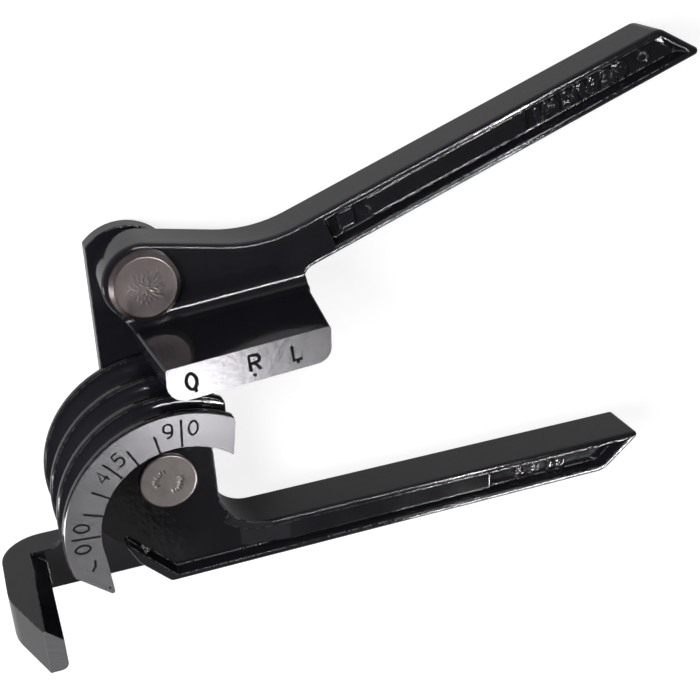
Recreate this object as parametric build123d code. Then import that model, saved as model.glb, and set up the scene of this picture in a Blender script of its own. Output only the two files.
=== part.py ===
from build123d import *
import os
from math import atan2, cos, radians, sin, sqrt, tan

# A three-size lever tube bender. Lengths are in millimetres and angles in degrees.
# The main pin's axis is Z, and Z rises from the back of the hook's arm to the scale.
# X runs along the lower handle, towards its free end.

# The former, which the tube is bent round, with its smallest groove beside the scale
tube_radii = (3.25, 4.05, 4.85)
flange_wall = 1.8
flange_bevel = 0.4
bend_radius = 24.0
rim_wall = 7.3
ring_end_x = 12.2
ring_end_lean = 1.2
ring_end_round = 1.7
rim_end_angle = 195.0
tip_inset = 3.9
tip_angle = 218.7
tip_round = 0.5
tip_back_angle = 191.0

# The hub inside the former, which sits back from the scale
hub_sink = 18.0
hub_side_x = 10.3
hub_top_y = 4.0

# The lower handle, with a recess in its front and in its back
handle_depth = 12.4
handle_recess = 2.5
handle_flange = 1.5
handle_edge_round = 0.9
handle_top_y = -14.1
handle_root_y = -23.4
handle_low_y = -22.7
handle_reach = 113.5
handle_end_run = 10.5
handle_low_round = 5.0
handle_tip_round = 0.9
handle_crook = 8.0
handle_back_start_x = 20.0
recess_taper = 18.0
ramp_end_x = 21.0
ramp_low_y = -18.5

# The limb that joins the handle to the former, below the hub
limb_angle = 230.0
limb_knee_x = -8.6
limb_knee_y = -17.1
limb_foot_x = -2.5
limb_edge_x = -11.1
limb_edge_y = -11.0
limb_edge_end_x = -1.0
root_end_x = 9.0

# The hook that holds the tube, an arm behind the former and a leg beside it
arm_behind = 5.7
arm_top_y = -16.9
arm_low_y = -26.8
arm_end_x = 9.0
arm_end_round = 5.0
leg_gap = 3.1
leg_thickness = 9.1
leg_nose_thickness = 3.7
leg_taper_run = 14.2
leg_back_round = 9.0
leg_side_round = 16.0
leg_facet_x = 3.2
leg_facet_y = 3.0
leg_low_round = 1.5
gusset_inset = 0.9
gusset_round = 2.5

# The link between the two pins, behind the former
pin_rise = 17.42
link_lean = 1.4
link_half_width = 9.2
link_thickness = 4.0
link_crown_radius = 10.8
link_crown_rise = 8.7
link_crown_shift = 1.2
side_play = 0.1

# The pins
pin_radius = 4.0
running_clearance = 0.05
pin_head_radius = 6.25
main_head_height = 0.7
main_head_bevel = 0.3
upper_head_height = 2.1
upper_head_chamfer = 0.85
rivet_radius = 5.6
rivet_height = 1.3
rivet_bevel = 0.6

# The lever's boss and handle
lever_depth = 11.7
boss_radius = 8.2
lever_angle = 19.6
lever_height = 9.4
lever_drop = 5.0
lever_neck_slope = 10.8
boss_left_angle = 200.0
lever_reach = 129.2
lever_end_run = 8.4
lever_end_round = 3.0
lever_nose_round = 0.9
lever_bend_round = 30.0
lever_flange = 1.5
lever_recess = 2.5
lever_edge_round = 1.0
lever_recess_start = 38.0
lever_notch_round = 3.0

# The shoe, which presses the tube into the former
shoe_gap = 2.0
shoe_tilt = 4.3
shoe_start = -0.4
shoe_length = 32.9
shoe_height = 7.1
shoe_lean = 0.9
shoe_toe_round = 3.6
shoe_heel_round = 3.2
shoe_corner_round = 0.6
shoe_left_draft = 2.4
shoe_right_draft = 1.5
shoe_top_draft = 1.9
shoe_groove_drop = 0.3
shoe_fillet = 3.0

# One overrun for every cut and for every overlap
overrun = 1.0

# Radii and distances that follow from the sizes above
ring_radius = bend_radius - rim_wall
tip_radius = bend_radius - tip_inset
leg_inner_x = -bend_radius - leg_gap
leg_outer_x = leg_inner_x - leg_thickness
leg_nose_x = leg_inner_x - leg_nose_thickness
gusset_x = gusset_inset - bend_radius
pin_distance = bend_radius + shoe_gap + pin_rise

# Levels along the pins
former_depth = (len(tube_radii) + 1) * flange_wall + 2 * sum(tube_radii)
former_back_z = arm_behind
front_z = former_back_z + former_depth
hub_front_z = front_z - hub_sink
handle_front_z = hub_front_z + handle_recess
handle_back_z = handle_front_z - handle_depth
arm_front_z = former_back_z + flange_wall
link_front_z = former_back_z - side_play
link_back_z = link_front_z - link_thickness
lever_back_z = former_back_z
lever_front_z = lever_back_z + lever_depth
upper_head_radius = pin_head_radius + upper_head_chamfer
upper_pin_x = pin_distance * sin(radians(link_lean))
upper_pin_y = pin_distance * cos(radians(link_lean))


def groove_levels():
    """Z of each groove's middle, from the scale side to the back."""
    levels = []
    level = front_z - flange_wall
    for radius in tube_radii:
        levels.append(level - radius)
        level -= 2 * radius + flange_wall
    return levels


def on_circle(radius, angle):
    """Point on a circle about the main pin."""
    return radius * cos(radians(angle)), radius * sin(radians(angle))


def outline(*corners):
    """Flat face through the corners, each given as x, y and its rounding radius."""
    face = make_face(Polyline(*[(x, y) for x, y, _ in corners], close=True))
    for x, y, radius in corners:
        if radius > 0:
            face = fillet(face.vertices().sort_by_distance((x, y))[0], radius)
    return face


def slab(face, low_z, high_z):
    """Solid of a flat face between two levels."""
    return extrude(Pos(0, 0, low_z) * face, high_z - low_z)


def rounded_slab(face, low_z, high_z, radius):
    """Slab whose edges round the top and the bottom are rounded."""
    solid = slab(face, low_z, high_z)
    ends = solid.faces().group_by(Axis.Z)
    return fillet(ends[0].edges() + ends[-1].edges(), radius)


def pocket(face, open_z, floor_z):
    """Tapered recess tool, widest where it opens and past that by the overrun."""
    depth = open_z - floor_z
    mouth = slab(face, open_z, open_z + (overrun if depth > 0 else -overrun))
    return mouth + extrude(Pos(0, 0, open_z) * face, abs(depth),
                           dir=(0, 0, -1 if depth > 0 else 1), taper=recess_taper)


def rim_plan():
    """The former's C in plan: a ring without the mouth on the handle's side."""
    tip = on_circle(tip_radius, tip_angle)
    rim_end = on_circle(bend_radius, rim_end_angle)
    back = on_circle(ring_radius, tip_back_angle)
    inner_x = ring_end_x - ring_end_lean
    reach = bend_radius + overrun
    top_y = sqrt(bend_radius ** 2 - ring_end_x ** 2)
    inner_y = sqrt(ring_radius ** 2 - inner_x ** 2)
    slope = ring_end_lean / (top_y - inner_y)
    mouth = make_face(Polyline(
        (ring_end_x + slope * (reach - top_y), reach),
        (inner_x - slope * inner_y, 0),
        back,
        tip,
        rim_end,
        (rim_end[0] - (tip[0] - rim_end[0]), rim_end[1] - (tip[1] - rim_end[1])),
        (-reach, -reach),
        (reach, -reach),
        (reach, reach),
        close=True))
    plan = Circle(bend_radius) - Circle(ring_radius) - mouth
    plan = fillet(plan.vertices().sort_by_distance((ring_end_x, top_y))[0], ring_end_round)
    return fillet(plan.vertices().sort_by_distance(tip)[0], tip_round)


def rim():
    """The grooved rim of the former, with a half-round groove for each tube."""
    middle = Pos((ring_radius + bend_radius) / 2, (former_back_z + front_z) / 2)
    section = middle * Rectangle(bend_radius - ring_radius, former_depth)
    for radius, level in zip(tube_radii, groove_levels()):
        section -= Pos(bend_radius, level) * Circle(radius)
    section = chamfer(section.vertices().group_by(Axis.X)[-1], flange_bevel)
    ring = revolve(Plane.XZ * section, Axis.Z)
    return ring & slab(rim_plan(), former_back_z - overrun, front_z + overrun)


def handle_plan():
    """The lower handle in plan, from the limb below the hub to its slanted end."""
    limb_top = on_circle(ring_radius, limb_angle)
    return outline(
        (*limb_top, 0),
        (limb_knee_x, limb_knee_y, 0),
        (limb_foot_x, handle_root_y, handle_flange),
        (handle_reach - handle_end_run, handle_low_y, handle_low_round),
        (handle_reach, handle_top_y, handle_tip_round),
        (hub_side_x, handle_top_y, handle_crook),
        (hub_side_x, hub_top_y, 0),
        (0, hub_top_y, 0))


def root_plan():
    """The thick root behind the limb, which carries the hook's arm."""
    limb_top = on_circle(ring_radius, limb_angle)
    return outline(
        (*limb_top, 0),
        (limb_knee_x, limb_knee_y, 0),
        (limb_foot_x, handle_root_y, 0),
        (root_end_x, handle_root_y, 0),
        (hub_side_x, handle_top_y + handle_crook, 0),
        (0, 0, 0)) & handle_plan()


def hub():
    """The disc that carries the main pin, cut straight on the handle's side."""
    reach = ring_radius + flange_bevel
    side = Pos((hub_side_x - reach) / 2, 0) * Rectangle(hub_side_x + reach, 2 * reach)
    return slab((Circle(reach) & side) + root_plan(), former_back_z, hub_front_z)


def limb_band():
    """Everything beyond the inner edge of the limb's raised flange."""
    return make_face(Polyline(
        (limb_edge_x, limb_edge_y),
        (limb_edge_end_x, handle_root_y + handle_flange),
        (limb_edge_end_x, 2 * handle_root_y),
        (2 * handle_root_y, 2 * handle_root_y),
        close=True))


def handle():
    """The lower handle as an I-beam, its front recess running on into the hub's face."""
    plan = handle_plan()
    band = limb_band()
    inner = offset(plan, -handle_flange) - band
    over_hub = Circle(ring_radius) + Pos(hub_side_x / 2, 0) * Rectangle(
        hub_side_x + 2 * overrun, -2 * (handle_top_y + handle_crook)) - band
    beam = rounded_slab(plan, handle_back_z, handle_front_z, handle_edge_round)
    beam -= pocket(inner, handle_front_z, hub_front_z)
    beam -= slab(over_hub, hub_front_z, handle_front_z + overrun)
    ramp = make_face(Polyline(
        (0, hub_front_z),
        (hub_side_x, hub_front_z),
        (ramp_end_x, handle_front_z),
        (ramp_end_x, handle_front_z + overrun),
        (0, handle_front_z + overrun),
        close=True))
    beam -= extrude(Plane.XZ * ramp, -ramp_low_y)
    back = inner & Pos(handle_back_start_x + handle_reach / 2, 0) * Rectangle(
        handle_reach, -4 * handle_root_y)
    return beam - pocket(back, handle_back_z, handle_back_z + handle_recess)


def gusset():
    """The rearmost flange, carried on below the former to the hook's arm."""
    inner = on_circle(ring_radius, rim_end_angle)
    plan = outline(
        (*on_circle(bend_radius - flange_bevel, rim_end_angle), 0),
        (gusset_x, arm_top_y, gusset_round),
        (leg_inner_x, arm_top_y, 0),
        (leg_inner_x, arm_low_y, 0),
        (limb_foot_x, arm_low_y, 0),
        (limb_foot_x, arm_top_y, 0),
        (*inner, 0))
    return slab(plan, former_back_z, arm_front_z)


def hook():
    """The hook: an arm behind the former that turns forward into a tapered leg."""
    side = outline(
        (arm_end_x, 0, 0),
        (arm_end_x, arm_front_z, 0),
        (leg_inner_x, arm_front_z, 0),
        (leg_inner_x, front_z, 0),
        (leg_nose_x, front_z, 0),
        (leg_outer_x, front_z - leg_taper_run, leg_side_round),
        (leg_outer_x, 0, leg_back_round))
    bar = extrude(Plane.XZ.offset(-arm_top_y) * side, arm_top_y - arm_low_y)
    plan = outline(
        (leg_outer_x - overrun, arm_low_y, 0),
        (leg_inner_x, arm_low_y, leg_low_round),
        (leg_inner_x, arm_top_y - leg_facet_y, 0),
        (leg_inner_x - leg_facet_x, arm_top_y, 0),
        (leg_outer_x - overrun, arm_top_y, 0))
    arm_plan = outline(
        (leg_outer_x - overrun, arm_low_y, 0),
        (arm_end_x, arm_low_y, arm_end_round),
        (arm_end_x, arm_top_y, 0),
        (leg_outer_x - overrun, arm_top_y, 0))
    shape = slab(plan, 0, front_z) + slab(arm_plan, 0, arm_front_z)
    return bar & shape


def lower_casting():
    """Former, hub, lower handle and hook in one casting, bored for the main pin."""
    body = rim() + hub() + handle() + gusset() + hook()
    bore = slab(Circle(pin_radius + running_clearance), former_back_z - overrun,
                hub_front_z + overrun)
    return body - bore


def rivet(low_z):
    """The bevelled tail that spreads a pin behind the link."""
    tail = slab(Circle(rivet_radius), low_z, low_z + rivet_height)
    return chamfer(tail.faces().sort_by(Axis.Z)[0].edges(), rivet_bevel)


def main_pin():
    """The pin through the hub, with a low flat head."""
    shank = slab(Circle(pin_radius), link_back_z - side_play, hub_front_z)
    head = slab(Circle(pin_head_radius), hub_front_z, hub_front_z + main_head_height)
    head = chamfer(head.faces().sort_by(Axis.Z)[-1].edges(), main_head_bevel)
    return shank + head + rivet(link_back_z - side_play - rivet_height)


def upper_pin():
    """The pin through the lever's boss, with a high chamfered head."""
    low_z = lever_front_z + side_play
    shank = slab(Circle(pin_radius), link_back_z, low_z)
    head = slab(Circle(upper_head_radius), low_z, low_z + upper_head_height)
    head = chamfer(head.faces().sort_by(Axis.Z)[-1].edges(), upper_head_chamfer)
    return Pos(upper_pin_x, upper_pin_y) * (shank + head + rivet(link_back_z - rivet_height))


def link_plate():
    """The flat link, round at the main pin and more gently crowned at the other."""
    crown_y = pin_distance + link_crown_rise
    crown_middle_y = crown_y - link_crown_radius
    strip = Pos(0, crown_y / 2) * Rectangle(2 * link_half_width, crown_y)
    below = Pos(0, crown_middle_y / 2) * Rectangle(2 * link_half_width, crown_middle_y)
    crown = Pos(-link_crown_shift, crown_middle_y) * Circle(link_crown_radius)
    plan = (strip & (crown + below)) + Circle(link_half_width)
    plan -= Circle(pin_radius + running_clearance)
    plan -= Pos(0, pin_distance) * Circle(pin_radius)
    return slab(Rot(0, 0, -link_lean) * plan, link_back_z, link_front_z)


def shoe_place():
    """Where the shoe's own frame lies: over the former, tilted off the tube."""
    return Pos(0, bend_radius + shoe_gap) * Rot(0, 0, shoe_tilt)


def shoe_plan(left, right, top):
    """The shoe in plan, in its own frame, grown by its draft but not at the toe."""
    end = shoe_start + shoe_length + right
    high = shoe_height + top
    return outline(
        (shoe_start, 0, shoe_toe_round),
        (end, 0, shoe_heel_round),
        (end + shoe_lean, high, shoe_corner_round),
        (shoe_start - left + shoe_lean, high, shoe_corner_round))


def shoe():
    """The shoe: a drafted block with a groove for each tube along its underside."""
    wide = shoe_plan(shoe_left_draft, shoe_right_draft, shoe_top_draft)
    narrow = shoe_plan(0, 0, 0)
    block = slab(wide, lever_back_z, lever_front_z)
    block += loft([Pos(0, 0, lever_front_z) * wide, Pos(0, 0, front_z) * narrow], ruled=True)
    length = shoe_length + shoe_left_draft + shoe_right_draft + 2 * overrun
    for radius, level in zip(tube_radii, groove_levels()):
        groove = extrude(Plane.YZ * (Pos(-shoe_groove_drop, level) * Circle(radius)), length)
        block -= Pos(shoe_start - shoe_left_draft - overrun, 0, 0) * groove
    return shoe_place() * block


def shoe_point(x, y):
    """Point of the shoe's own frame, in plan."""
    turn = radians(shoe_tilt)
    return x * cos(turn) - y * sin(turn), bend_radius + shoe_gap + x * sin(turn) + y * cos(turn)


def lever_point(along, above):
    """Point on the lever, measured from the upper pin along its handle's slope."""
    turn = radians(lever_angle)
    return (upper_pin_x + along * cos(turn) - above * sin(turn),
            upper_pin_y + along * sin(turn) + above * cos(turn))


def boss_point(angle):
    """Point on the outside of the lever's boss."""
    return (upper_pin_x + boss_radius * cos(radians(angle)),
            upper_pin_y + boss_radius * sin(radians(angle)))


def lever_plan():
    """The lever in plan, from its boss to the slanted end of its handle."""
    low = -lever_drop - lever_height
    neck_normal = radians(90 - lever_neck_slope - lever_angle)
    bend_along = (boss_radius + lever_drop * sin(neck_normal)) / cos(neck_normal)
    high = shoe_height + shoe_top_draft
    start = shoe_start - shoe_left_draft
    end = shoe_start + shoe_length + shoe_right_draft
    notch_x = shoe_point(end + shoe_lean, high)[0]
    notch_y = lever_point(0, low)[1] + (notch_x - lever_point(0, low)[0]) * tan(radians(lever_angle))
    plan = outline(
        (*boss_point(90 - lever_neck_slope), 0),
        (upper_pin_x, upper_pin_y, 0),
        (*boss_point(boss_left_angle), 0),
        (*shoe_point(start + shoe_lean, high), 0),
        (*shoe_point(start + shoe_toe_round, high / 2), 0),
        (*shoe_point(end - shoe_heel_round, high / 2), 0),
        (notch_x, shoe_point(end, high / 2)[1], 0),
        (notch_x, notch_y, lever_notch_round),
        (*lever_point(lever_reach, low), lever_nose_round),
        (*lever_point(lever_reach - lever_end_run, -lever_drop), lever_end_round),
        (*lever_point(bend_along, -lever_drop), lever_bend_round))
    return plan + Pos(upper_pin_x, upper_pin_y) * Circle(boss_radius)


def ledge():
    """The fillet in the corner between the shoe's top and the lever's front face."""
    draft = atan2(shoe_top_draft, front_z - lever_front_z)
    corner_y = shoe_height + shoe_top_draft
    sunk_z = lever_front_z - lever_edge_round
    middle_y = corner_y + shoe_fillet * (1 - sin(draft)) / cos(draft)
    middle_z = lever_front_z + shoe_fillet
    touch_y = middle_y - shoe_fillet * cos(draft)
    touch_z = middle_z - shoe_fillet * sin(draft)
    section = make_face(Polyline(
        (corner_y - overrun, sunk_z),
        (middle_y, sunk_z),
        (middle_y, middle_z),
        (touch_y, touch_z),
        (touch_y - overrun, touch_z),
        close=True)) - Pos(middle_y, middle_z) * Circle(shoe_fillet)
    length = shoe_length + shoe_left_draft + shoe_right_draft + 2 * overrun
    strip = extrude(Plane.YZ * section, length)
    return shoe_place() * Pos(shoe_start - shoe_left_draft - overrun, 0, 0) * strip


def lever():
    """The lever in one casting: boss, recessed handle and grooved shoe."""
    plan = lever_plan()
    beam = rounded_slab(plan, lever_back_z, lever_front_z, lever_edge_round)
    length = lever_reach - lever_recess_start
    handle_part = Pos(*lever_point(lever_recess_start + length / 2, -lever_drop)) * Rot(
        0, 0, lever_angle) * Rectangle(length, 4 * lever_height)
    inner = offset(plan, -lever_flange) & handle_part
    beam -= pocket(inner, lever_front_z, lever_front_z - lever_recess)
    beam -= pocket(inner, lever_back_z, lever_back_z + lever_recess)
    body = beam + shoe() + (ledge() & slab(plan, lever_back_z, front_z))
    bore = slab(Circle(pin_radius + running_clearance), lever_back_z - overrun,
                lever_front_z + overrun)
    seat = slab(Circle(upper_head_radius + side_play), lever_front_z,
                lever_front_z + shoe_fillet + overrun)
    return body - Pos(upper_pin_x, upper_pin_y) * (bore + seat)


os.makedirs("parts", exist_ok=True)
nodes = {
    "lower_casting": lower_casting,
    "main_pin": main_pin,
    "link_plate": link_plate,
    "upper_pin": upper_pin,
    "lever": lever,
}
for name, make in nodes.items():
    piece = make()
    piece.label = name
    export_step(piece, os.path.join("parts", name + ".step"))
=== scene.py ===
# %% [markdown]
# # A three-size lever tube bender
# The tool bends small copper and steel tube. A lower casting holds a round former with
# one groove for each tube size, a hook and a handle. A flat link and a lever turn on two
# pins, and the lever's shoe presses the tube round the former.
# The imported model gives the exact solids, so this script only dresses them: it adds
# materials, the marks cut into the bare faces, the raised panels and figures in the
# handles, and the hammered pin heads.

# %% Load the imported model
import random
from math import cos, exp, pi, radians, sin, sqrt

import bmesh
import bpy
from mathutils import Matrix, Vector


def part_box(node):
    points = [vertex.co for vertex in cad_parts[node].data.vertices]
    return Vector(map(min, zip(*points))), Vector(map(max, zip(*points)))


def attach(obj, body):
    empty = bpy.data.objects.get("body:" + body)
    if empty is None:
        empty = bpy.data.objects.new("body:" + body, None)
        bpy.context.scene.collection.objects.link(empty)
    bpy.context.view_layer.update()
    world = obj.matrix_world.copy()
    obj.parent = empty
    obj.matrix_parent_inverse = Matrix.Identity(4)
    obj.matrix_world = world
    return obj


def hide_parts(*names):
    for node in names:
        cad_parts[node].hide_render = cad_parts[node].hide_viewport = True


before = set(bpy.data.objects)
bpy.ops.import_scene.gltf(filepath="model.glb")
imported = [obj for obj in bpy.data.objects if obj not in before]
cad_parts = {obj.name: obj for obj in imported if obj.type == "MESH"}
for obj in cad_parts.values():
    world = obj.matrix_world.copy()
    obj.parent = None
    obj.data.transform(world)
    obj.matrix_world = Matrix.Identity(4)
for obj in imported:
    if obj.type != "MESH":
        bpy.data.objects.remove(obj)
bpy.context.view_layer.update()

MM = 0.001

# %% [markdown]
# ## Camera
# A photographed object looks right only from where the camera stood. The camera's place,
# its turn and its lens were worked out from points that can be told apart in the
# photograph, such as the ends of both handles, the pin heads and the tips of the scale.

# %% Camera
def new_object(name, data):
    """An object of some data, put into the scene."""
    item = bpy.data.objects.new(name, data)
    bpy.context.scene.collection.objects.link(item)
    return item


camera_place = (-0.03075, 0.128223, 0.243601)
camera_turn = (-23.1695, -19.5914, -3.864)
camera_data = bpy.data.cameras.new("camera")
camera_data.sensor_width = 36
camera_data.lens = 62.76
camera_data.clip_start = 0.01
camera = new_object("camera", camera_data)
camera.location = camera_place
camera.rotation_euler = [radians(angle) for angle in camera_turn]
bpy.context.scene.camera = camera
bpy.context.scene.view_settings.view_transform = "Standard"
print("camera at", camera_place, "m, with a", camera_data.lens, "mm lens")

# %% [markdown]
# ## Colours
# Paint charts and photographs give colours as sRGB hex values, but Blender's shaders add
# up light in linear values, so one function turns the first into the second.

# %% Linear colours
def linear(hex_colour):
    """Linear RGBA of an sRGB hex colour."""
    parts = [int(hex_colour[i:i + 2], 16) / 255 for i in (1, 3, 5)]
    return tuple(v / 12.92 if v <= 0.04045 else ((v + 0.055) / 1.055) ** 2.4 for v in parts) + (1,)


print("a middle grey, #808080, is", round(linear("#808080")[0], 3), "in linear light")

# %% [markdown]
# ## Shader nodes
# A finish is a small net of shader nodes. One function adds a node, sets its values and
# links its inputs in one call. Another starts a material with its shader and with Object
# coordinates, which are the real metres of this tool and stay with a piece when it moves,
# so a pattern's size can be given in real millimetres.

# %% Nodes and materials
def add(tree, kind, values=None, links=None, **settings):
    """Add a node, set its inputs and settings, and link sockets to its inputs."""
    node = tree.nodes.new("ShaderNode" + kind)
    for name, value in settings.items():
        setattr(node, name, value)
    for key, value in (values or {}).items():
        node.inputs[key].default_value = value
    for key, socket in (links or {}).items():
        tree.links.new(socket, node.inputs[key])
    return node


def new_material(name):
    """An empty node material, with its tree, its shader and its Object coordinates."""
    material = bpy.data.materials.new(name)
    material.use_nodes = True
    tree = material.node_tree
    tree.nodes.clear()
    shader = add(tree, "BsdfPrincipled")
    add(tree, "OutputMaterial", links={"Surface": shader.outputs["BSDF"]})
    place = add(tree, "TexCoord").outputs["Object"]
    return material, tree, shader, place


# %% [markdown]
# ## Pale paper
# The tool lies on a plain sheet of paper, which the camera has to see as white without more
# light on the tool. So the sheet glows on top of the light that falls on it, and it still
# gets darker where the tool keeps the light away. Light Path tells the camera's
# rays from the others. Mirrored rays see a fainter glow, because a bright sheet would wash
# out the black enamel, and all other rays see none.

# %% Paper
camera_glow = 0.82
mirror_glow = 0.15
paper, tree, shader, _ = new_material("pale_paper")
shader.inputs["Base Color"].default_value = linear("#acacac")
shader.inputs["Roughness"].default_value = 0.9
rays = add(tree, "LightPath").outputs
mirrored = add(tree, "Math", links={0: rays["Is Glossy Ray"], 1: rays["Is Transmission Ray"]},
               operation="MAXIMUM").outputs[0]
direct = add(tree, "Math", {1: camera_glow}, {0: rays["Is Camera Ray"]},
             operation="MULTIPLY").outputs[0]
glow = add(tree, "Math", {1: mirror_glow}, {0: mirrored, 2: direct},
           operation="MULTIPLY_ADD").outputs[0]
white = add(tree, "Emission", {"Color": (1, 1, 1, 1)}, {"Strength": glow})
both = add(tree, "AddShader", links={0: shader.outputs["BSDF"], 1: white.outputs["Emission"]})
tree.links.new(both.outputs[0], tree.nodes["Material Output"].inputs["Surface"])
print("the paper glows", camera_glow, "for the camera and", mirror_glow, "in mirrors")

# %% [markdown]
# ## From a shape to an object
# Each new shape is drawn as a bmesh in millimetres, most of them about their own middle. It
# is then moved to its place and scaled to metres, which are Blender's unit, with its faces
# turned outwards. Because the place is in the mesh, the object itself stays at the origin,
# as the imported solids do.

# %% Shapes and objects
def settle(bm, place):
    """Move a shape drawn in mm to its place in mm, and turn it to metres, faces outwards."""
    bmesh.ops.translate(bm, verts=bm.verts, vec=place)
    bmesh.ops.scale(bm, verts=bm.verts, vec=(MM, MM, MM))
    bmesh.ops.recalc_face_normals(bm, faces=bm.faces)


def mesh_object(name, bm, material):
    """An object of a finished bmesh, in its material."""
    mesh = bpy.data.meshes.new(name)
    bm.to_mesh(mesh)
    bm.free()
    mesh.materials.append(material)
    return new_object(name, mesh)


# %% [markdown]
# ## Floor
# The sheet is one round disc, so wide that its edge is out of sight. It lies a hair under
# the tool, because two faces at the same level would flicker.

# %% Floor
floor_radius = 2.0 / MM
floor_drop = 0.05
disc = bmesh.new()
bmesh.ops.create_circle(disc, cap_ends=True, segments=96, radius=floor_radius)
settle(disc, (0, 0, -floor_drop))
floor = mesh_object("floor", disc, paper)
print("floor radius", floor_radius * MM, "m")

# %% [markdown]
# ## Room
# Black gloss enamel has almost no colour of its own: what the eye sees is the room in it.
# The room is a soft grey dome that gets paler towards the horizon, so faces that look
# sideways are grey and faces that look up are nearly black, as in the photograph.

# %% Grey dome
horizon_tone, overhead_tone = 0.5, 0.1
darkest_height = 0.45
world = bpy.data.worlds.new("studio")
bpy.context.scene.world = world
world.use_nodes = True
tree = world.node_tree
tree.nodes.clear()
direction = add(tree, "TexCoord").outputs["Generated"]
height = add(tree, "SeparateXYZ", links={"Vector": direction}).outputs["Z"]
tone = add(tree, "MapRange", {"From Min": 0.0, "From Max": darkest_height,
                              "To Min": horizon_tone, "To Max": overhead_tone},
           {"Value": height})
sky = add(tree, "Background", {"Strength": 1.0}, {"Color": tone.outputs[0]})
add(tree, "OutputWorld", links={"Surface": sky.outputs[0]})
print("dome", horizon_tone, "at the horizon and", overhead_tone, "overhead")

# %% [markdown]
# ## Lamps
# A wide lamp on the left lights the tool softly and is kept out of reflections. The strips
# are the other way round: they only show in reflections, where each draws the bright
# broken lines along the castings' edges. They hang where no flat face mirrors them to the
# camera. The ground faces do mirror two lamps, a small one for the shoe and the top of the
# scale, and a wide faint one for the hook's end and the scale's tip. A last one lights the
# hook from the side.

# %% Lamps
def lamp(name, place, target, size, power, glint=False):
    """A lamp of a size in metres, turned to a target; a glint only shows in reflections."""
    data = bpy.data.lights.new(name, "AREA")
    data.energy = power
    data.shape = "ELLIPSE" if size[0] == size[1] else "RECTANGLE"
    data.size, data.size_y = size
    light = new_object(name, data)
    light.location = place
    light.rotation_euler = (Vector(target) - Vector(place)).to_track_quat("-Z", "Y").to_euler()
    light.visible_diffuse = not glint
    return light


key = lamp("soft_key", (-0.36, 0.10, 0.36), (0.02, 0.02, 0.02), (0.3, 0.3), 3.0)
key.visible_glossy = False
lamp("edge_strip", (0.17, 0.26, 0.58), (0.05, 0.02, 0.02), (0.32, 0.01), 1.9, glint=True)
lamp("metal_spot", (0.094, -0.229, 0.570), (0.01, 0.029, 0.037), (0.05, 0.05), 0.08)
lamp("front_strip", (0.328, -0.352, 0.397), (0.06, 0.03, 0.02), (0.25, 0.012), 3.2, glint=True)
lamp("short_strip", (0.29, 0.085, 0.61), (0.08, 0.05, 0.02), (0.09, 0.012), 1.4, glint=True)
lamp("hook_fill", (-0.04, -0.42, 0.57), (-0.03, -0.02, 0.037), (0.25, 0.25), 0.04)
lamp("low_kicker", (-0.46, -0.12, 0.09), (-0.01, 0.04, 0.02), (0.10, 0.05), 0.35)

# %% [markdown]
# ## Rubbed edges and painted sheen
# Stove enamel draws thin over an edge, and hands and a toolbox dull it there first. The
# Bevel node gives the direction that a slightly rounded edge would have. Where it departs
# from the true direction there is an edge, and a noise breaks the edge into patches. The
# duller patches are what breaks the bright lines into dashes. They are also painted a paler
# grey, partly as rubbed enamel and partly as a painted highlight along the edges. The dot
# product of two directions is the cosine of the angle between them, so 0.995 stands for
# about 6 degrees, where the edge starts, and 0.93 for about 22 degrees, where it is full.

# %% Rubbed edges
edge_start, edge_full = 0.995, 0.93
patch_size = 1.7 * MM


def rubbed_edges_and_sheen(tree, place, rounded):
    """Mask of the rubbed patches along the edges, which also carry a painted highlight, from the
    rounded and the true direction.
    """
    true_normal = add(tree, "NewGeometry").outputs["Normal"]
    agree = add(tree, "VectorMath", links={0: rounded, 1: true_normal},
                operation="DOT_PRODUCT").outputs["Value"]
    edge = add(tree, "MapRange", {"From Min": edge_start, "From Max": edge_full, "To Min": 0.0,
                                  "To Max": 1.0}, {"Value": agree}).outputs[0]
    patches = add(tree, "TexNoise", {"Scale": 1 / patch_size, "Detail": 2.0},
                  {"Vector": place}).outputs[0]
    worn = add(tree, "Math", {1: 0.5}, {0: patches}, operation="GREATER_THAN").outputs[0]
    return add(tree, "Math", links={0: edge, 1: worn}, operation="MULTIPLY").outputs[0]


print("patches about", patch_size / MM, "mm across")

# %% [markdown]
# ## Black stove enamel on cast aluminium
# The castings are dipped in black gloss enamel and baked. That leaves a wet-looking skin,
# which follows the slight waves of the cast surface and has a fine peel of its own, and
# both bend the reflections a little. The skin's depth varies in slow clouds, which shows
# as a faint change of tone and of gloss.

# %% Enamel skin
edge_round = 0.5 * MM
cloud_size = 14 * MM
wave_size, wave_rise = 3.2 * MM, 0.028 * MM
peel_size, peel_rise = 1.0 * MM, 0.012 * MM
least_rough, most_rough, rub_rough = 0.07, 0.13, 0.35


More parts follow.
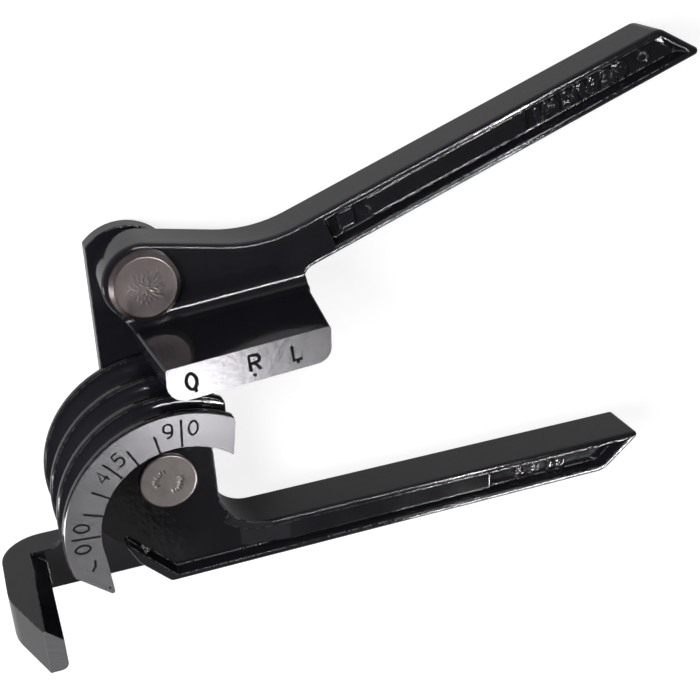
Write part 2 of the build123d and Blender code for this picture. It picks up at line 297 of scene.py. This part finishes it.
def enamel_skin(tree, place):
    """Colour, roughness and direction of the gloss enamel."""
    cloud = add(tree, "TexNoise", {"Scale": 1 / cloud_size, "Detail": 4.0},
                {"Vector": place}).outputs[0]
    waves = add(tree, "TexNoise", {"Scale": 1 / wave_size, "Detail": 2.0},
                {"Vector": place}).outputs[0]
    peel = add(tree, "TexNoise", {"Scale": 1 / peel_size, "Detail": 1.0},
               {"Vector": place}).outputs[0]
    rounded = add(tree, "Bevel", {"Radius": edge_round}, samples=6).outputs[0]
    bump = rounded
    for height, rise in ((waves, wave_rise), (peel, peel_rise)):
        bump = add(tree, "Bump", {"Strength": 1.0, "Distance": rise},
                   {"Height": height, "Normal": bump}).outputs[0]
    paint = add(tree, "Mix", {6: linear("#141318"), 7: linear("#1e1d22")}, {0: cloud},
                data_type="RGBA").outputs[2]
    gloss = add(tree, "MapRange", {"From Min": 0.3, "From Max": 0.7, "To Min": least_rough,
                                   "To Max": most_rough}, {"Value": cloud}).outputs[0]
    rub_and_sheen = rubbed_edges_and_sheen(tree, place, rounded)
    # The paler grey on the edge patches is partly worn enamel and partly a painted highlight.
    colour = add(tree, "Mix", {7: linear("#3c3b3e")}, {0: rub_and_sheen, 6: paint},
                 data_type="RGBA").outputs[2]
    rough = add(tree, "Math", {1: rub_rough}, {0: rub_and_sheen, 2: gloss},
                operation="MULTIPLY_ADD").outputs[0]
    return colour, rough, bump


print("enamel waves", wave_size / MM, "mm apart and", wave_rise / MM, "mm high")

# %% [markdown]
# ## Ground aluminium
# The front of the former, the hook's end and the shoe's face are ground on a wheel after
# the enamel, which leaves bare aluminium with fine scratches that all run one way. A noise
# stretched along one axis makes them: its coordinates are first turned until the scratches
# lie along X, and then divided by a long size in X and a short one in Y. Real scratches are
# finer than a pixel here, so these are drawn coarser. A second noise adds slight waves,
# which make the brightness of the face uneven.

# %% Ground metal
scratch_size = (14 * MM, 0.3 * MM, 9 * MM)
scratch_cut = 0.004 * MM
dull_size = 1.4 * MM


def ground_aluminium(tree, place, light_hex, angle, roughness, wave):
    """Colour, roughness and direction of a face whose scratches a turn brings along X."""
    turned = add(tree, "Mapping", {"Rotation": (0, 0, radians(angle))}, {"Vector": place},
                 vector_type="POINT").outputs[0]
    drawn_out = add(tree, "Mapping", {"Scale": [1 / size for size in scratch_size]},
                    {"Vector": turned}, vector_type="POINT").outputs[0]
    scratch = add(tree, "TexNoise", {"Scale": 1.0, "Detail": 2.0, "Roughness": 0.55},
                  {"Vector": drawn_out}).outputs[0]
    dull = add(tree, "TexNoise", {"Scale": 1 / dull_size, "Detail": 3.0},
               {"Vector": place}).outputs[0]
    colour = add(tree, "Mix", {6: linear("#8e8c90"), 7: linear(light_hex)}, {0: scratch},
                 data_type="RGBA").outputs[2]
    rough = add(tree, "MapRange", {"From Min": 0.3, "From Max": 0.7, "To Min": roughness[0],
                                   "To Max": roughness[1]}, {"Value": scratch}).outputs[0]
    cut = add(tree, "Bump", {"Strength": 1.0, "Distance": scratch_cut},
              {"Height": scratch}).outputs[0]
    uneven = add(tree, "Bump", {"Strength": 1.0, "Distance": wave * MM},
                 {"Height": dull, "Normal": cut}).outputs[0]
    return colour, rough, uneven


print("scratches", scratch_size[1] / MM, "mm wide")

# %% [markdown]
# ## Where the enamel ends
# The wheel cuts the former, the hook's end and the shoe down to one level, the top of the
# casting's box, so height above the floor tells bare metal from enamel. A fine noise moves
# that height up and down a little, which makes the enamel's edge ragged, as it chips under
# the wheel.

# %% Bare level
front_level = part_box("lower_casting")[1][2] / MM
chip_size, chip_reach = 0.9 * MM, 0.16 * MM
bare_start = (front_level - 0.2) * MM


def bare_mask(tree, place):
    """One where the front face is ground bare, and zero on the enamel."""
    level = add(tree, "SeparateXYZ", links={"Vector": place}).outputs["Z"]
    ragged = add(tree, "TexNoise", {"Scale": 1 / chip_size, "Detail": 3.0},
                 {"Vector": place}).outputs[0]
    limit = add(tree, "Math", {1: chip_reach, 2: bare_start}, {0: ragged},
                operation="MULTIPLY_ADD").outputs[0]
    return add(tree, "Math", links={0: level, 1: limit}, operation="GREATER_THAN").outputs[0]


print("bare above", round(bare_start / MM, 2), "to", round((bare_start + chip_reach) / MM, 2), "mm")

# %% [markdown]
# ## The castings' finish
# One material holds enamel and bare metal, mixed by the mask, because both lie on one
# solid. A Mix node has separate sockets for colours, numbers and directions, and the table
# gives each kind's two inputs and its output. The shoe's scratches run nearly across those
# of the scale, and its metal is paler and smoother.

# %% Enamelled castings
MIX_SOCKETS = (("RGBA", 6, 7, 2), ("FLOAT", 2, 3, 0), ("VECTOR", 4, 5, 1))


def dress(tree, shader, colour, roughness, normal):
    """Link what a finish worked out to its shader."""
    for name, socket in (("Base Color", colour), ("Roughness", roughness), ("Normal", normal)):
        tree.links.new(socket, shader.inputs[name])


def enamel(name, ground=None):
    """Black gloss enamel, ground to bare aluminium at the front level where that is asked."""
    material, tree, shader, place = new_material(name)
    shader.inputs["IOR"].default_value = 1.5
    finish = enamel_skin(tree, place)
    if ground:
        bare = bare_mask(tree, place)
        metal = ground_aluminium(tree, place, **ground)
        finish = [add(tree, "Mix", links={0: bare, first: skin, second: face},
                      data_type=kind).outputs[result]
                  for (kind, first, second, result), skin, face
                  in zip(MIX_SOCKETS, finish, metal)]
        tree.links.new(bare, shader.inputs["Metallic"])
    dress(tree, shader, *finish)
    return material


scale_ground = {"light_hex": "#b0aeb2", "angle": 24, "roughness": (0.22, 0.27), "wave": 0.003}
shoe_ground = {"light_hex": "#cfcdd1", "angle": -58, "roughness": (0.19, 0.24), "wave": 0.018}
plain_enamel = enamel("black_stove_enamel")
castings = {"lower_casting": enamel("black_enamel_with_ground_scale", scale_ground),
            "lever": enamel("black_enamel_with_ground_shoe", shoe_ground),
            "link_plate": plain_enamel}
for node, material in castings.items():
    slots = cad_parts[node].data.materials
    slots.clear()
    slots.append(material)
    print(node, "is", material.name)

# %% [markdown]
# ## Turned steel
# The pins are turned from steel bar, which is a darker and warmer grey than aluminium.
# Turning leaves rings round the axis, too fine to show at this size, so they are drawn
# coarser here. Handling stains the steel in small spots, which also change its gloss.

# %% Steel
ring_size, ring_cut = 2.4 * MM, 0.002 * MM
spot_size, spot_cut = 1.6 * MM, 0.006 * MM
gloss_spread = 0.04


def steel(name, centre, light_hex, dark_hex, roughness):
    """Turned steel with rings about an upright axis through a centre."""
    material, tree, shader, place = new_material(name)
    shader.inputs["Metallic"].default_value = 1.0
    shift = add(tree, "Mapping", {"Location": (-centre[0], -centre[1], 0)}, {"Vector": place})
    rings = add(tree, "TexWave", {"Scale": 1 / ring_size, "Distortion": 0.3, "Detail": 2.0,
                                  "Detail Scale": 0.002}, {"Vector": shift.outputs[0]},
                wave_type="RINGS", rings_direction="Z").outputs[1]
    spots = add(tree, "TexNoise", {"Scale": 1 / spot_size, "Detail": 4.0},
                {"Vector": place}).outputs[0]
    colour = add(tree, "Mix", {6: linear(dark_hex), 7: linear(light_hex)}, {0: spots},
                 data_type="RGBA").outputs[2]
    rough = add(tree, "MapRange", {"From Min": 0.3, "From Max": 0.7,
                                   "To Min": roughness - gloss_spread,
                                   "To Max": roughness + gloss_spread}, {"Value": spots}).outputs[0]
    turned = add(tree, "Bump", {"Strength": 0.5, "Distance": ring_cut}, {"Height": rings})
    pitted = add(tree, "Bump", {"Strength": 1.0, "Distance": spot_cut},
                 {"Height": spots, "Normal": turned.outputs[0]}).outputs[0]
    dress(tree, shader, colour, rough, pitted)
    return material


def middle(node):
    """Middle of a node's box, in millimetres."""
    low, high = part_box(node)
    return [(a + b) / 2 / MM for a, b in zip(low, high)]


def steel_for(node, light_hex, dark_hex, roughness):
    """Steel whose rings lie about a pin's own axis."""
    centre = [value * MM for value in middle(node)]
    return steel("turned_steel_" + node, centre, light_hex, dark_hex, roughness)


main_steel = steel_for("main_pin", "#787270", "#6c6664", 0.33)
upper_steel = steel_for("upper_pin", "#8a8180", "#766e6d", 0.36)
print("pins at", [round(value, 2) for value in middle("main_pin")[:2] + middle("upper_pin")[:2]])

# %% [markdown]
# ## A pin's section
# Each pin is a turned bar with a broad head at the front and a spread tail behind the link.
# On a lathe, one line makes the whole shape, so its section is drawn once, from the axis
# out and back to the axis, and spun round. The head's face gets many rings of points,
# because it takes the dents of the hammer and the punch next.

# %% Section and spin
shank_radius = 4.0
tail_radius, tail_height, tail_bevel = 5.6, 1.3, 0.6
face_step, face_inner = 0.22, 0.1
merge_distance = 0.002


def pin_section(low, high, head_radius, head_height, bevel):
    """Radii and levels of a pin's section in mm, from its tail to the middle of its face."""
    section = [(0, low), (tail_radius - tail_bevel, low), (tail_radius, low + tail_bevel),
               (tail_radius, low + tail_height), (shank_radius, low + tail_height),
               (shank_radius, high - head_height), (head_radius, high - head_height),
               (head_radius, high - bevel), (head_radius - bevel, high)]
    radius = head_radius - bevel - face_step
    while radius > face_inner:
        section.append((radius, high))
        radius -= face_step
    return section + [(0, high)]


def spun(section, steps):
    """A closed bmesh in mm, from a section of radii and levels spun about the Z axis."""
    bm = bmesh.new()
    chain = [bm.verts.new((radius, 0, level)) for radius, level in section]
    edges = [bm.edges.new(pair) for pair in zip(chain, chain[1:])]
    bmesh.ops.spin(bm, geom=chain + edges, cent=(0, 0, 0), axis=(0, 0, 1), dvec=(0, 0, 0),
                   angle=2 * pi, steps=steps, use_merge=True, use_duplicate=False)
    bmesh.ops.remove_doubles(bm, verts=bm.verts, dist=merge_distance)
    return bm


print("tail", 2 * tail_radius, "mm across, shank", 2 * shank_radius, "mm")

# %% [markdown]
# ## Hammer and punch
# A riveter's punch leaves short strokes. On the main pin they lie in two arcs, and on the
# upper one they spread over a shallow hollow like a star. Steps of 137.5 degrees, the
# golden angle, fill a disc evenly without any rows. The seed of the random spread is
# fixed, so the same dents come out each time.

# %% Dents
chance = random.Random(7)


def stroke(reach, turn, half_lengths, half_width, sway, depths):
    """A dent at a reach and a turn: its place, half length, half width, turn and depth."""
    return (reach * cos(turn), reach * sin(turn), chance.uniform(*half_lengths), half_width,
            turn + chance.uniform(-sway, sway), chance.uniform(*depths))


arc_radius, arc_scatter, arc_step = 2.7, 0.25, 14
arcs = []
for arc_middle in (150, -30):
    for step in range(-3, 4):
        turn = radians(arc_middle + arc_step * step)
        reach = arc_radius + chance.uniform(-arc_scatter, arc_scatter)
        arcs.append(stroke(reach, turn, half_lengths=(0.3, 0.5), half_width=0.22, sway=0.4,
                           depths=(0.08, 0.14)))

golden_angle = 137.5
hollow_radius, hollow_depth = 3.2, 0.12
star_strokes, star_inner, star_growth = 40, 0.4, 3.0
star = [(0, 0, hollow_radius, hollow_radius, 0, hollow_depth)]
for step in range(star_strokes):
    turn = radians(step * golden_angle)
    reach = star_inner + star_growth * sqrt(step / star_strokes)
    star.append(stroke(reach, turn, half_lengths=(0.3, 0.6), half_width=0.16, sway=0.5,
                       depths=(0.03, 0.08)))
print(len(arcs), "dents on the main pin and", len(star), "on the upper pin")

# %% [markdown]
# ## Pieces that move
# A new piece rides on the body that carries it, so it follows when the link or the lever
# swings.

# %% Pieces
def finish_piece(name, bm, material, body):
    """A piece of the tool, made of a finished bmesh, which rides on a body."""
    piece = mesh_object(name, bm, material)
    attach(piece, body)
    print(name, len(piece.data.polygons), "faces")
    return piece


# %% [markdown]
# ## The pins
# Each dent is a smooth bell-shaped hollow, and it lowers the points of the face near it.
# The face is shaded smooth, with the main pin's small bevel. The upper pin's wide bevel and
# the turned sides aren't, so that they stay crisp. The finished pin takes the place of the
# plain one.

# %% Pins
pin_steps = 112
level_slack, rim_slack = 0.001, 0.01
smooth_facing, smooth_depth = 0.6, 0.4


def press_dents(bm, face_level, reach, dents):
    """Lower the points of a face, within a reach of its middle, by what each dent takes."""
    for vert in bm.verts:
        if vert.co.z < face_level - level_slack or vert.co.xy.length > reach - rim_slack:
            continue
        for dent_x, dent_y, half_length, half_width, turn, depth in dents:
            x, y = vert.co.x - dent_x, vert.co.y - dent_y
            along = (x * cos(turn) + y * sin(turn)) / half_length
            across = (y * cos(turn) - x * sin(turn)) / half_width
            vert.co.z -= depth * exp(-(along ** 2 + across ** 2))


def pin(name, node, body, material, head_radius, head_height, bevel, dents):
    """A spun and hammered pin in a node's place."""
    low, high = (corner[2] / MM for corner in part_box(node))
    bm = spun(pin_section(low, high, head_radius, head_height, bevel), pin_steps)
    press_dents(bm, high, head_radius - bevel, dents)
    settle(bm, (*middle(node)[:2], 0))
    piece = finish_piece(name, bm, material, body)
    for face in piece.data.polygons:
        on_top = face.center.z > (high - smooth_depth) * MM
        face.use_smooth = on_top and abs(face.normal.z) > smooth_facing
    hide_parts(node)


pin("main_pin_turned", "main_pin", "base", main_steel, head_radius=6.25, head_height=0.7,
    bevel=0.3, dents=arcs)
pin("upper_pin_turned", "upper_pin", "link", upper_steel, head_radius=7.1, head_height=2.1,
    bevel=0.85, dents=star)

# %% [markdown]
# ## Signs as strokes
# The marks are engraved with a round cutter, so a sign is made of strokes of one width. Each
# stroke is a curve through a few points in a box one high. It is hard, with corners, or
# soft, or a closed loop. Only the signs that the tool carries are drawn. The dot is a short
# stroke by the foot of each of the shoe's signs.

# %% Strokes of each sign
SIGNS = {
    "0": [("loop", (0.3, 1), (0.06, 0.78), (0, 0.5), (0.06, 0.22), (0.3, 0), (0.54, 0.22),
           (0.6, 0.5), (0.54, 0.78))],
    "9": [("loop", (0.3, 1), (0.06, 0.9), (0, 0.68), (0.08, 0.46), (0.3, 0.38),
           (0.52, 0.46), (0.58, 0.68), (0.52, 0.9)),
          ("soft", (0.58, 0.7), (0.55, 0.38), (0.4, 0.1), (0.12, 0.0))],
    "4": [("hard", (0.46, 0), (0.46, 1), (0, 0.3), (0.62, 0.3))],
    "5": [("hard", (0.55, 1), (0.14, 1), (0.08, 0.55)),
          ("soft", (0.08, 0.55), (0.3, 0.63), (0.54, 0.5), (0.56, 0.22), (0.36, 0.02),
           (0.02, 0.08))],
    "R": [("hard", (0, 0), (0, 1), (0.3, 1)),
          ("soft", (0.3, 1), (0.56, 0.9), (0.56, 0.6), (0.3, 0.5)),
          ("hard", (0, 0.5), (0.3, 0.5), (0.6, 0))],
    "L": [("hard", (0, 1), (0, 0), (0.58, 0))],
    "dot": [("hard", (0.26, 0.35), (0.42, -0.3))],
    "line": [("hard", (0, 0), (0, 1))],
}
sign_middle = 0.3
print("signs", *SIGNS)

# %% [markdown]
# ## From strokes to a mesh
# A curve with a bevel depth is a round bar of that radius. It is turned into a mesh and
# pressed nearly flat on the face, as filler that stands a hair proud of the metal.

# %% Curves of signs
sign_flatness = 0.12


def curve_bmesh(name, curve, merge):
    """A bmesh of a curve or text, with points nearer than the merge distance joined."""
    shape = new_object(name, curve)
    bpy.context.view_layer.update()
    mesh = bpy.data.meshes.new_from_object(shape.evaluated_get(
        bpy.context.evaluated_depsgraph_get()))
    bpy.data.objects.remove(shape)
    bm = bmesh.new()
    bm.from_mesh(mesh)
    bmesh.ops.remove_doubles(bm, verts=bm.verts, dist=merge)
    return bm


def add_sign(curve, sign, x, y, height, turn):
    """Add a sign's strokes to a curve, with the sign's middle and foot at a point."""
    side = 0 if sign == "line" else sign_middle
    for kind, *points in SIGNS[sign]:
        spline = curve.splines.new("BEZIER")
        spline.bezier_points.add(len(points) - 1)
        spline.use_cyclic_u = kind == "loop"
        for point, (across, up) in zip(spline.bezier_points, points):
            dx, dy = (across - side) * height, up * height
            point.co = (x + dx * cos(turn) - dy * sin(turn),
                        y + dx * sin(turn) + dy * cos(turn), 0)
            handle = "VECTOR" if kind == "hard" else "AUTO"
            point.handle_left_type = point.handle_right_type = handle


def signs(name, marks, width, body, material):
    """Flat signs on the front level; each mark is its sign, middle, foot, height and turn."""
    curve = bpy.data.curves.new(name, "CURVE")
    curve.dimensions = "3D"
    curve.bevel_depth = width / 2
    curve.bevel_resolution = 2
    curve.resolution_u = 6
    curve.use_fill_caps = True
    for mark in marks:
        add_sign(curve, *mark)
    bm = curve_bmesh(name, curve, merge=0.001)
    bmesh.ops.scale(bm, verts=bm.verts, vec=(1, 1, sign_flatness))
    settle(bm, (0, 0, front_level))
    finish_piece(name, bm, material, body)


# %% [markdown]
# ## Black filling
# The engraved signs hold a matt black filler, slightly uneven where some has worn out. It
# keeps a very low specular level, because a sheen would make the signs grey on bright metal.

# %% Filler
grain_size, grain_rise = 0.5 * MM, 0.01 * MM
filler, tree, shader, place = new_material("black_engraving_filler")
shader.inputs["Specular IOR Level"].default_value = 0.1
grain = add(tree, "TexNoise", {"Scale": 1 / grain_size, "Detail": 3.0}, {"Vector": place}).outputs[0]
filler_tone = add(tree, "Mix", {6: linear("#050505"), 7: linear("#161518")}, {0: grain},
                  data_type="RGBA").outputs[2]
filler_rough = add(tree, "MapRange", {"To Min": 0.5, "To Max": 0.75}, {"Value": grain}).outputs[0]
filler_bump = add(tree, "Bump", {"Strength": 0.5, "Distance": grain_rise},
                  {"Height": grain}).outputs[0]
dress(tree, shader, filler_tone, filler_rough, filler_bump)
print("filler grain", grain_size / MM, "mm")

# %% [markdown]
# ## The scale
# The long lines stand at 0, 45 and 90 degrees of bend, each between the two figures of its
# number, with shorter lines between. A dividing head cuts such a scale about the pin, so
# every place is an angle and a distance from the main pin's axis. Three short strokes near
# the tip are nicks in the metal, which hold dirt.

# %% Scale marks
def on_circle(radius, angle):
    """Point at a distance and an angle from the main pin, in millimetres and degrees."""
    return radius * cos(radians(angle)), radius * sin(radians(angle))


def upright(angle):
    """Turn of a sign whose top points away from the main pin."""
    return radians(angle - 90)


line_foot, short_foot, short_top = 16.8, 16.7, 20.5
figure_height = 2.9
lines = [(175, line_foot, 22.4), (130.3, line_foot, 21.9), (86, line_foot, 22.6)]
lines += [(angle, short_foot, short_top) for angle in (160, 146.4, 116.9, 100.9)]
figures_on_scale = (("0", 181.5, 19.0), ("0", 168.5, 19.0), ("4", 136.5, 18.8),
                    ("5", 123.5, 18.8), ("9", 93, 19.2), ("0", 79.5, 19.2))
nicks = [("line", -19.4, -5.9, 1.3, -0.6), ("line", -18.7, -5.0, 1.5, -0.1),
         ("line", -16.6, -10.7, 0.4, 0.4)]
marks = [("line", *on_circle(foot, angle), top - foot, upright(angle))
         for angle, foot, top in lines]
marks += [(sign, *on_circle(radius, angle), figure_height, upright(angle))
          for sign, angle, radius in figures_on_scale]
signs("scale_marks", marks + nicks, width=0.46, body="base", material=filler)

# %% [markdown]
# ## The shoe's marks
# The shoe has three marks for where the tube's line is set: 0, R and L. They stand along
# its face, which is tilted a few degrees off the lower handle, and are cut wider and less
# carefully than the scale.

# %% Shoe marks
shoe_tilt = radians(4.3)
shoe_signs = [("0", 4.7, 28.3, 3.3, shoe_tilt), ("dot", 5.2, 27.9, 1, shoe_tilt),
              ("R", 17.2, 29.5, 3.3, shoe_tilt), ("dot", 16.8, 28.6, 1, shoe_tilt),
              ("L", 25.7, 30.0, 3.1, shoe_tilt), ("dot", 25.6, 29.5, 1, shoe_tilt)]
signs("shoe_marks", shoe_signs, width=0.72, body="lever", material=filler)

# %% [markdown]
# ## Raised panels in the handles
# Both handles are I-beams, and a long raised panel partly fills their front recess and
# stiffens the web. It is one bar with its edges bevelled, as a casting's edges are, and
# sunk a little into the recess's floor. Its left end can slope. A flat face that is shaded
# smooth up to its bevel looks swollen, so only the small faces of the bevels are smooth.

# %% A panel
panel_sink = 0.3
largest_bevel_face = 4.0


def panel(name, corners, floor_level, rise, body, ramp=0.0, edge=0.45):
    """A raised bar on a recess floor, in mm, with a ramp's length at its left end."""
    bm = bmesh.new()
    base = bm.faces.new([bm.verts.new((x, y, -panel_sink)) for x, y in corners])
    raised = [item for item in bmesh.ops.extrude_face_region(bm, geom=[base])["geom"]
              if isinstance(item, bmesh.types.BMVert)]
    bmesh.ops.translate(bm, vec=(0, 0, rise + panel_sink), verts=raised)
    left = sorted(raised, key=lambda vert: vert.co.x)[:2]
    bmesh.ops.translate(bm, vec=(ramp, 0, 0), verts=left)
    bmesh.ops.recalc_face_normals(bm, faces=bm.faces)
    rim = [line for line in bm.edges if all(vert.co.z > 0 for vert in line.verts)]
    upright_edges = [line for line in bm.edges
                     if abs(line.verts[0].co.z - line.verts[1].co.z) > 0.1]
    bmesh.ops.bevel(bm, geom=rim + upright_edges, offset=edge, offset_type="OFFSET", segments=4,
                    affect="EDGES", profile=0.5, material=-1, clamp_overlap=True)
    settle(bm, (0, 0, floor_level))
    piece = finish_piece(name, bm, plain_enamel, body)
    for face in piece.data.polygons:
        face.use_smooth = face.area < largest_bevel_face * MM * MM


# %% [markdown]
# ## Panels in place
# Places on the lever are easiest to give along its own handle, so one function turns a
# distance along the handle and one above it into a point of the tool. The lever has a long
# panel and a small square tile before it. The floor of the lower handle's recess runs on
# into the hub's face, and its one panel comes up out of that face with a long ramp.

# %% Panels
upper_x, upper_y = middle("upper_pin")[:2]
slope = radians(19.6)
lever_level, recess_depth, hub_sink = 17.4, 2.5, 18.0
lever_floor = lever_level - recess_depth
handle_floor = front_level - hub_sink
print("floors of the recesses at", round(lever_floor, 2), "and", round(handle_floor, 2), "mm")


def on_lever(along, above):
    """Point on the lever, measured from the upper pin along its handle."""
    return (upper_x + along * cos(slope) - above * sin(slope),
            upper_y + along * sin(slope) + above * cos(slope))


lever_panel = ((45.8, -10.8), (85.4, -11.5), (86.8, -6.3), (45.8, -6.3))
lever_tile = ((40.4, -11.0), (44.2, -11.2), (44.8, -7.4), (41.0, -7.2))
handle_panel = ((12.0, -20.6), (73.6, -20.3), (73.8, -14.8), (12.0, -14.8))
panel("lever_panel", [on_lever(*point) for point in lever_panel], lever_floor, rise=1.6,
      body="lever", ramp=2.0)
panel("lever_tile", [on_lever(*point) for point in lever_tile], lever_floor, rise=0.9,
      body="lever", edge=0.3)
panel("handle_panel", handle_panel, handle_floor, rise=1.6, body="base", ramp=13.0)

# %% [markdown]
# ## Raised figures
# The tube sizes stand in raised figures on the floor of the lever's recess, cast with it,
# and fainter ones in millimetres on the lower handle. Figures cut into a mould come out
# with rounded edges, so the text gets a bevel. It is set as text, made a mesh, fitted to
# the recess and only then turned and moved to its place.

# %% Raised figures
def fit(bm, length, height):
    """Centre a flat shape on the origin and stretch it to a length and a height."""
    spans = [(min(v.co[axis] for v in bm.verts), max(v.co[axis] for v in bm.verts))
             for axis in (0, 1)]
    bmesh.ops.translate(bm, verts=bm.verts, vec=[-sum(span) / 2 for span in spans] + [0])
    (left, right), (low, high) = spans
    bmesh.ops.scale(bm, verts=bm.verts, vec=(length / (right - left), height / (high - low), 1))


def figures(name, text, centre, length, height, turn, floor_level, rise, body):
    """Raised figures of a length and a height in mm, about a centre on a recess floor."""
    curve = bpy.data.curves.new(name, "FONT")
    curve.body = text
    curve.extrude = rise
    curve.offset = 0.02
    curve.bevel_depth = 0.1
    curve.bevel_resolution = 2
    curve.resolution_u = 4
    bm = curve_bmesh(name, curve, merge=0.0001)
    fit(bm, length, height)
    bmesh.ops.rotate(bm, verts=bm.verts, matrix=Matrix.Rotation(turn, 3, "Z"))
    settle(bm, (*centre, floor_level))
    finish_piece(name, bm, plain_enamel, body)


figures("lever_figures", "1/4 5/16 3/8", on_lever(100.3, -9.6), length=23.5, height=4.0,
        turn=slope, floor_level=lever_floor, rise=0.45, body="lever")
figures("handle_figures", "6 8 10", (86.5, -18.5), length=14.0, height=3.0, turn=0,
        floor_level=handle_floor, rise=0.15, body="base")

# %% [markdown]
# ## Round pad
# A small round pad beside the lever's figures is the mark of the pin that pushed the
# casting out of its mould. It has a raised rim round a sunk middle, so it is spun from its
# section, as the pins are.

# %% Round pad
pad_section = ((0, -0.2), (1.5, -0.2), (1.5, 0.35), (1.3, 0.55), (1.0, 0.55), (0.8, 0.4), (0, 0.4))
pad = spun(pad_section, steps=40)
settle(pad, (*on_lever(116.1, -9.7), lever_floor))
finish_piece("ejector_pad", pad, plain_enamel, "lever")
